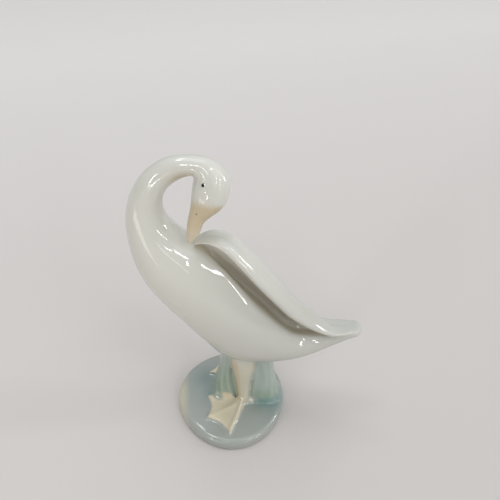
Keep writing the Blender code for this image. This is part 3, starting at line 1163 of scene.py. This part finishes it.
@dataclass
class Brushwork:
    """Where each colour lies on the casting, as masks from 0 to 1 on its points.

    The points are in millimetres with their heights over the floor. For each of them, down says how far the
    surface faces down, and near how far away every form is. An edge is half the width of a soft border.
    """

    points: Array
    down: Array
    near: dict[str, Array]
    feet: list[Foot]
    clumps: list[Reeds]
    bisque_top: Blend = upward(0.25, 0.6)
    base_top: Blend = upward(12.0, 20.0)
    wash_top: Blend = upward(8.0, 13.0)
    rim: Blend = Blend((-1.0, -0.12, 0.0), 18.0, 22.5)
    rim_top: Blend = upward(5.3, 6.0)
    dark: tuple[Wash, ...] = (Wash(-12.5, 8.7, 4.5), Wash(-4.0, -2.5, 3.2), Wash(19.0, -6.0, 5.0, 0.6))
    teal: tuple[Wash, ...] = (Wash(14.5, -3.8, 3.4), Wash(-8.0, -1.0, 3.6, 0.6), Wash(19.0, 0.0, 4.0, 0.5))
    # Painted shade on the body grows along this, towards the tail and down to the belly.
    shade_towards_tail: Blend = Blend((1.0, 0.0, -1.2), -127.0, -25.0)
    reed_foot: Blend = upward(6.0, 10.0)
    reed_top: Blend = upward(30.0, 34.0)
    reed_edge: float = 0.6
    clump_edge: float = 0.5
    front_clump_end: float = 4.0
    front_green: float = 0.65
    front_green_top: Blend = upward(20.0, 30.0)
    rear_green: float = 0.6
    rear_green_top: Blend = upward(8.0, 17.0)
    stripe: float = 0.42
    stripe_crest: tuple[float, float] = (0.35, 0.95)
    leg_foot: Blend = upward(5.6, 6.4)
    thigh_top: Blend = upward(31.0, 36.0)
    leg_edge: float = 0.35
    thigh_fade: tuple[float, float] = (-2.4, 0.2)
    shank: float = 0.8
    shank_back: Blend = Blend((1.0, 0.0, 0.05), 4.15, 5.95)
    foot_bottom: Blend = upward(5.3, 5.6)
    foot_top: Blend = upward(9.0, 11.0)
    foot_edge: float = 0.25
    foot_over_leg: float = 0.8
    foot_over_leg_top: float = 7.5
    foot_reed_edge: float = 0.3
    foot_reed_gap: float = 0.15
    foot_before_reeds: float = 9.0
    toe: float = 0.6
    toe_ridge: tuple[float, float] = (0.2, 0.9)
    bill_end: Blend = Blend((0.227, 0.434, 1.0), 99.7, 103.5)
    bill_tip: float = 0.72
    bill_tip_top: Blend = upward(91.0, 99.0)
    bill_skin: float = 0.8
    bill_wing_gap: float = 0.3
    bill_bottom: float = 90.0
    bill_free: float = 96.0
    bill_axis: tuple[float, float] = (-11.0, -5.6)
    bill_radius: float = 4.6
    bill_box: tuple[float, float] = (-13.9, 1.5)
    # Strength and border of the painted shade on the bill's side towards the tail.
    bill_shade: float = 0.8
    bill_shade_line: Blend = Blend((1.0, 0.3, -0.45), -53.825, -51.725)
    # Where the painted shade under the neck's curl lies, how far it spreads and how far down the surface
    # must face.
    neck_shade_place: tuple[float, float] = (-13.0, 113.5)
    neck_shade_spread: tuple[float, float] = (5.0, 3.6)
    neck_shade_down: tuple[float, float] = (-0.4, 0.5)
    neck_shade_end: float = -8.8

    def nearest(self, *names: str) -> Array:
        """Distance of each point from the nearest of the named forms."""
        return np.minimum.reduce([self.near[name] for name in names])

    def bird(self) -> Array:
        """Distance of each point from the skin or a wing."""
        return self.nearest("skin", "near_wing", "far_wing")

    def legs(self) -> Array:
        """Distance of each point from a leg or a hind toe."""
        return self.nearest("near_leg", "far_leg", "near_hind_toe", "far_hind_toe")

    def reeds(self) -> Array:
        """Distance of each point from a clump of reeds."""
        return self.nearest("front_reeds", "rear_reeds")

    def below(self, blend: Blend) -> Array:
        """1 before the change and 0 after it."""
        return 1.0 - blend.share(self.points)

    def washed(self, washes: tuple[Wash, ...]) -> Array:
        """The washes together, on the base only."""
        together = np.sum([wash.share(self.points) for wash in washes], axis=0)
        return self.below(self.wash_top) * together.clip(0.0, 1.0)

    def base_masks(self) -> dict[Zone, Array]:
        """The base's colour, its warm rim, the washes on it and the bare underside."""
        return {
            Zone.BASE: self.below(self.base_top),
            Zone.BISQUE: self.below(self.bisque_top),
            Zone.RIM: self.rim.share(self.points) * self.below(self.rim_top),
            Zone.DARK: self.washed(self.dark),
            Zone.TEAL: self.washed(self.teal),
        }

    def reed_masks(self) -> dict[Zone, Array]:
        """The reeds' colour, their greener feet and front, and the pale crests of the blades."""
        outside = np.minimum(self.bird(), self.legs()) - self.reeds()
        reed = smoothstep(-self.reed_edge, self.reed_edge, outside)
        reed = reed * self.below(self.reed_top) * self.reed_foot.share(self.points)
        behind = self.near["rear_reeds"] - self.near["front_reeds"]
        front = smoothstep(-self.clump_edge, self.clump_edge, behind)
        front = front * (self.points[:, 0] < self.front_clump_end)
        green = self.front_green * front * self.below(self.front_green_top)
        green = green + self.rear_green * (1.0 - front) * self.below(self.rear_green_top)
        front_crest, rear_crest = (clump.crest(self.points) for clump in self.clumps)
        crest = np.where(front > 0.5, front_crest, rear_crest)
        return {
            Zone.REED: reed,
            Zone.GREEN: reed * green,
            Zone.STRIPE: self.stripe * reed * smoothstep(*self.stripe_crest, crest),
        }

    def foot_masks(self) -> dict[Zone, Array]:
        """The webbed feet and their paler toes."""
        feet, toes = np.zeros(len(self.points)), np.zeros(len(self.points))
        for foot in self.feet:
            away, turns = foot.polar(self.points)
            inside = smoothstep(-self.foot_edge, self.foot_edge, foot.reach(turns) - away)
            inside *= self.below(self.foot_top) * self.foot_bottom.share(self.points)
            free = self.reeds() - self.foot_reed_gap + 2.0 * (away < self.foot_before_reeds)
            inside *= smoothstep(-self.foot_reed_edge, self.foot_reed_edge, free)
            ridge = smoothstep(*self.toe_ridge, foot.ridge_height(away, turns))
            feet = np.maximum(feet, inside)
            toes = np.maximum(toes, self.toe * inside * ridge)
        return {Zone.FOOT: feet, Zone.TOE: toes}

    def leg_masks(self) -> dict[Zone, Array]:
        """The legs with their warmer shanks, and the feet."""
        legs = self.legs()
        leg = smoothstep(-self.leg_edge, self.leg_edge, self.reeds() - legs)
        leg = leg * smoothstep(*self.thigh_fade, self.bird() - legs)
        leg = leg * self.below(self.thigh_top) * self.leg_foot.share(self.points)
        feet = self.foot_masks()
        foot = feet[Zone.FOOT] * (self.points[:, 2] < self.foot_over_leg_top)
        return {
            Zone.LEG: leg * (1.0 - self.foot_over_leg * foot),
            Zone.SHANK: self.shank * leg * self.below(self.shank_back) * (1.0 - foot),
            **feet,
        }

    def bill_masks(self) -> dict[Zone, Array]:
        """The bill, paler at its tip, and painted shade on its side towards the tail."""
        x, y, z = self.points.T
        skin = self.near["skin"]
        head = (skin < self.bill_skin) & (skin < self.near["near_wing"] + self.bill_wing_gap)
        head &= (z > self.bill_bottom) & (x > self.bill_box[0]) & (y < self.bill_box[1])
        tip = np.hypot(x - self.bill_axis[0], y - self.bill_axis[1]) < self.bill_radius
        strength = self.bill_tip + (1.0 - self.bill_tip) * self.bill_tip_top.share(self.points)
        bill = self.below(self.bill_end) * strength * (head & (tip | (z > self.bill_free)))
        return {Zone.BILL: bill, Zone.BILL_SHADE: self.bill_shade * bill * self.bill_shade_line.share(self.points)}

    def neck_shade_mask(self) -> Array:
        """Painted shade on the underside of the neck's curl, where the surface faces down."""
        x, _, z = self.points.T
        away = ((x - self.neck_shade_place[0]) / self.neck_shade_spread[0]) ** 2
        away = away + ((z - self.neck_shade_place[1]) / self.neck_shade_spread[1]) ** 2
        return np.exp(-away) * smoothstep(*self.neck_shade_down, self.down) * (x < self.neck_shade_end)

    def masks(self) -> dict[Zone, Array]:
        """Every zone's mask."""
        return {
            # Painted shade, darker towards the tail and the belly.
            Zone.BODY: self.shade_towards_tail.share(self.points),
            **self.base_masks(),
            **self.reed_masks(),
            **self.leg_masks(),
            **self.bill_masks(),
            Zone.NECK_SHADE: self.neck_shade_mask(),
        }


@dataclass
class Swan:
    """The whole casting: it builds the forms, fuses them, paints the zones and stands for the CAD node."""

    base: Base = field(default_factory=Base)
    casting: Casting = field(default_factory=Casting)
    finish: GlazedPorcelain = field(default_factory=GlazedPorcelain)

    def reeds(self) -> list[Reeds]:
        """The two clumps of reeds that help carry the belly."""
        front = [
            (-2.0, -3.4, 7.9, 7.4),
            (0.2, -3.0, 7.5, 6.8),
            (1.8, -2.3, 6.7, 6.0),
            (5.0, -1.7, 6.0, 5.5),
            (10.0, -1.3, 5.5, 5.2),
            (17.0, -0.9, 4.2, 4.8),
            (24.0, -0.3, 3.7, 4.7),
            (37.0, -0.1, 3.5, 4.7),
        ]
        rear = [
            (-2.0, 14.4, 8.4, 8.0),
            (0.2, 14.2, 8.0, 7.4),
            (1.8, 13.8, 7.3, 6.8),
            (5.0, 13.2, 6.7, 6.5),
            (10.0, 12.8, 6.3, 6.4),
            (17.0, 12.5, 5.8, 6.3),
            (24.0, 12.3, 5.5, 6.3),
            (37.0, 12.3, 5.5, 6.3),
        ]
        return [
            Reeds("front_reeds", self.base.height, 0.6, front),
            Reeds("rear_reeds", self.base.height, 0.8, rear, bend=-0.4),
        ]

    def feet(self) -> list[Foot]:
        """The two feet, near side first."""
        return [Foot(Leg(side, self.base.height)) for side in Side]

    def forms(self) -> dict[str, Form]:
        """Every form of the casting by name."""
        height = self.base.height
        made = [self.base.form(), Skin(height).form()]
        for foot in self.feet():
            leg = foot.leg
            made += [Wing(leg.side, height).form(), leg.form(), foot.form(), HindToe(leg).form()]
        made += [clump.form() for clump in self.reeds()]
        return {form.name: form for form in made}

    def paint(self, mesh: bpy.types.Mesh, forms: dict[str, Form]) -> None:
        """Write the masks of the painted zones into the mesh.

        Args:
            mesh: The fused mesh.
            forms: The forms by name.
        """
        points = read_points(mesh) / MM
        normals = np.empty(len(points) * 3, dtype=np.float32)
        mesh.vertex_normals.foreach_get("vector", normals)
        near = {name: distances(form.tree(), points) for name, form in forms.items()}
        work = Brushwork(points, -normals.reshape(-1, 3)[:, 2], near, self.feet(), self.reeds())
        for zone, values in work.masks().items():
            write_mask(mesh, zone, values)

    def build(self) -> bpy.types.Object:
        """Make the casting and put it in the CAD node's place.

        Returns:
            The glazed swan.
        """
        forms = self.forms()
        swan = self.casting.fused(list(forms.values()))
        self.casting.soften(swan.data)
        log.info("cast %d points, %d faces", len(swan.data.vertices), len(swan.data.polygons))
        self.paint(swan.data, forms)
        swan.data.materials.clear()
        swan.data.materials.append(self.finish.material(EYES, NOSTRILS))
        swan.data.shade_smooth()
        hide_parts(NODE)
        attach(swan, BODY)
        return swan


@dataclass(frozen=True)
class Lamp:
    """One soft rectangular lamp, with its direction, size and lean in degrees as seen from the bird.

    Azimuth 0 is the side seen first and 90 the tail's. A positive lean tips the top towards larger azimuths.
    """

    name: str
    azimuth: float
    elevation: float
    width: float
    height: float
    radiance: float
    lean: float = 0.0
    colour: str = "#FFFFFF"
    distance: float = 3000.0

    def build(self, target: Vector) -> None:
        """Hang the lamp and turn it to the target.

        Args:
            target: The point that it faces, in metres.
        """
        data = bpy.data.lights.new(self.name, "AREA")
        data.shape = "RECTANGLE"
        data.size = 2.0 * self.distance * MM * math.tan(math.radians(self.width / 2))
        data.size_y = 2.0 * self.distance * MM * math.tan(math.radians(self.height / 2))
        data.energy = self.radiance * data.size * data.size_y * math.pi
        data.color = hex_to_linear(self.colour)[:3]
        azimuth, elevation = math.radians(self.azimuth), math.radians(self.elevation)
        away = Vector(
            (
                math.sin(azimuth) * math.cos(elevation),
                -math.cos(azimuth) * math.cos(elevation),
                math.sin(elevation),
            )
        )
        lamp = bpy.data.objects.new(self.name, data)
        lamp.location = target + away * self.distance * MM
        lean = Quaternion((0.0, 0.0, 1.0), -math.radians(self.lean))
        lamp.rotation_euler = (away.to_track_quat("Z", "Y") @ lean).to_euler()
        lamp.visible_camera = False
        bpy.context.scene.collection.objects.link(lamp)


@dataclass
class Studio:
    """A plain pale floor, a pale world and soft lamps. Sizes are in metres, the target in millimetres."""

    # Painted light and shade on the floor: its colour runs from darker at the front to lighter at the back
    # and left.
    floor_front: str = "#C6C1BE"
    floor_back: str = "#DCD8D6"
    floor_size: float = 8.0
    floor_middle: float = 1.0
    floor_direction: tuple[float, float, float] = (-0.35, 1.0, 0.0)
    floor_fade: tuple[float, float] = (-0.06, 0.6)
    floor_roughness: float = 0.9
    floor_gloss: float = 0.2
    target: tuple[float, float, float] = (-5.0, -3.0, 75.0)
    sky: str = "#EEF3F8"
    horizon: str = "#B9B3A8"
    horizon_fade: tuple[float, float] = (0.0, 0.6)
    dim: str = "#8E867A"
    dim_side: tuple[float, float, float] = (-0.45, -0.85, -0.25)
    dim_fade: tuple[float, float] = (-0.1, 0.85)
    dim_share: float = 0.9
    sky_strength: float = 0.74

    def lamps(self) -> list[Lamp]:
        """The windows and cards round the bird."""
        return [
            Lamp("right_window", 38.6, 32.0, 6.0, 6.0, 14.0),
            Lamp("right_window_foot", 31.6, 21.0, 2.2, 11.5, 19.0, 32.0),
            Lamp("side_window", 58.4, 21.4, 4.6, 3.4, 17.0),
            Lamp("side_bar", 53.2, 10.0, 1.5, 16.5, 32.0, 29.5),
            Lamp("side_strip", 95.0, 12.0, 3.2, 16.0, 30.0, -25.0),
            Lamp("high_side_strip", 91.5, 34.0, 2.6, 24.0, 8.0),
            Lamp("left_window", -42.5, 15.0, 3.6, 17.0, 16.0, -25.0),
            Lamp("high_window", -17.0, 39.0, 5.0, 13.0, 9.0, -22.0),
            Lamp("head_card", 14.5, 13.0, 2.2, 22.0, 4.5, -24.0),
            Lamp("low_left_card", -19.0, -3.0, 7.0, 4.5, 13.0, distance=260.0),
            Lamp("eye_card", -31.0, 4.0, 10.0, 2.5, 9.0, 23.0, distance=264.0),
            Lamp("low_left_glow", -44.0, -8.2, 38.0, 7.0, 2.8, 11.0, "#FFF6EA", 232.0),
            Lamp("ceiling_left", -101.0, 72.0, 12.0, 8.0, 7.0),
            Lamp("ceiling_right", 42.0, 59.0, 24.0, 4.0, 7.0, -10.0),
            Lamp("ceiling_back", -146.0, 64.0, 10.0, 7.0, 7.0),
            Lamp("right_softbox", 56.0, 50.0, 31.0, 31.0, 0.6),
            Lamp("top_softbox", -150.0, 82.0, 30.0, 30.0, 1.6),
        ]

    def paper(self) -> bpy.types.Material:
        """Matt paper with painted light and shade: lighter towards the back and the left, darker towards the
        front.
        """
        material = bpy.data.materials.new("paper_floor")
        material.use_nodes = True
        tree = material.node_tree
        shader = tree.nodes["Principled BSDF"]
        place = add_node(tree, "ShaderNodeNewGeometry")
        back = add_node(
            tree,
            "ShaderNodeVectorMath",
            {"operation": "DOT_PRODUCT"},
            {1: self.floor_direction},
            {0: (place, "Position")},
        )
        front_end, back_end = self.floor_fade
        share = add_node(
            tree,
            "ShaderNodeMapRange",
            values={"From Min": front_end, "From Max": back_end},
            links={"Value": (back, "Value")},
        )
        colours = {UNDER: hex_to_linear(self.floor_front), OVER: hex_to_linear(self.floor_back)}
        colour = add_node(tree, "ShaderNodeMix", {"data_type": "RGBA"}, colours, {FACTOR: (share, "Result")})
        tree.links.new(colour.outputs[MIXED], shader.inputs["Base Color"])
        shader.inputs["Roughness"].default_value = self.floor_roughness
        shader.inputs["Specular IOR Level"].default_value = self.floor_gloss
        return material

    def build(self) -> None:
        """Make the floor, the world and the lamps."""
        bpy.ops.mesh.primitive_plane_add(size=self.floor_size, location=(0.0, self.floor_middle, 0.0))
        floor = bpy.context.active_object
        floor.name = "floor"
        floor.data.materials.append(self.paper())
        self.light_world()
        for lamp in self.lamps():
            lamp.build(Vector(self.target) * MM)

    def light_world(self) -> None:
        """A pale world, a little darker and warmer at the horizon and on the viewer's side."""
        world = bpy.data.worlds.new("studio")
        bpy.context.scene.world = world
        world.use_nodes = True
        tree = world.node_tree
        place = add_node(tree, "ShaderNodeTexCoord")
        under: dict[int, Link] = {}
        for direction, (start, end), share, code in (
            ((0.0, 0.0, 1.0), self.horizon_fade, 1.0, self.sky),
            (self.dim_side, self.dim_fade, self.dim_share, self.dim),
        ):
            along = add_node(
                tree,
                "ShaderNodeVectorMath",
                {"operation": "DOT_PRODUCT"},
                {1: direction},
                {0: (place, "Generated")},
            )
            part = add_node(
                tree,
                "ShaderNodeMapRange",
                values={"From Min": start, "From Max": end, "To Max": share},
                links={"Value": (along, "Value")},
            )
            colours = {UNDER: hex_to_linear(self.horizon), OVER: hex_to_linear(code)}
            links = {FACTOR: (part, "Result"), **under}
            under = {UNDER: (add_node(tree, "ShaderNodeMix", {"data_type": "RGBA"}, colours, links), MIXED)}
        mixed, output = under[UNDER]
        background = tree.nodes["Background"]
        background.inputs["Strength"].default_value = self.sky_strength
        tree.links.new(mixed.outputs[output], background.inputs["Color"])


@dataclass
class Viewpoint:
    """The camera at the photograph's viewing angle."""

    place: tuple[float, float, float] = (8.1, -141.5, 188.0)
    pitch: float = 36.5
    lens: float = 36.0
    sensor: float = 36.0

    def build(self) -> bpy.types.Object:
        """Make the camera and hand it to the scene."""
        data = bpy.data.cameras.new("camera")
        data.lens = self.lens
        data.sensor_width = self.sensor
        camera = bpy.data.objects.new("camera", data)
        camera.location = Vector(self.place) * MM
        camera.rotation_euler = (math.radians(90.0 - self.pitch), 0.0, 0.0)
        data.clip_start = 0.01
        bpy.context.scene.collection.objects.link(camera)
        bpy.context.scene.camera = camera
        return camera


def main() -> None:
    """Build the figurine, the studio and the camera."""
    logging.basicConfig(level=logging.INFO)
    bpy.context.scene.view_settings.view_transform = "Standard"
    Viewpoint().build()
    Studio().build()
    swan = Swan().build()
    log.info("piece %s", swan.name)


if __name__ == "__main__":
    main()
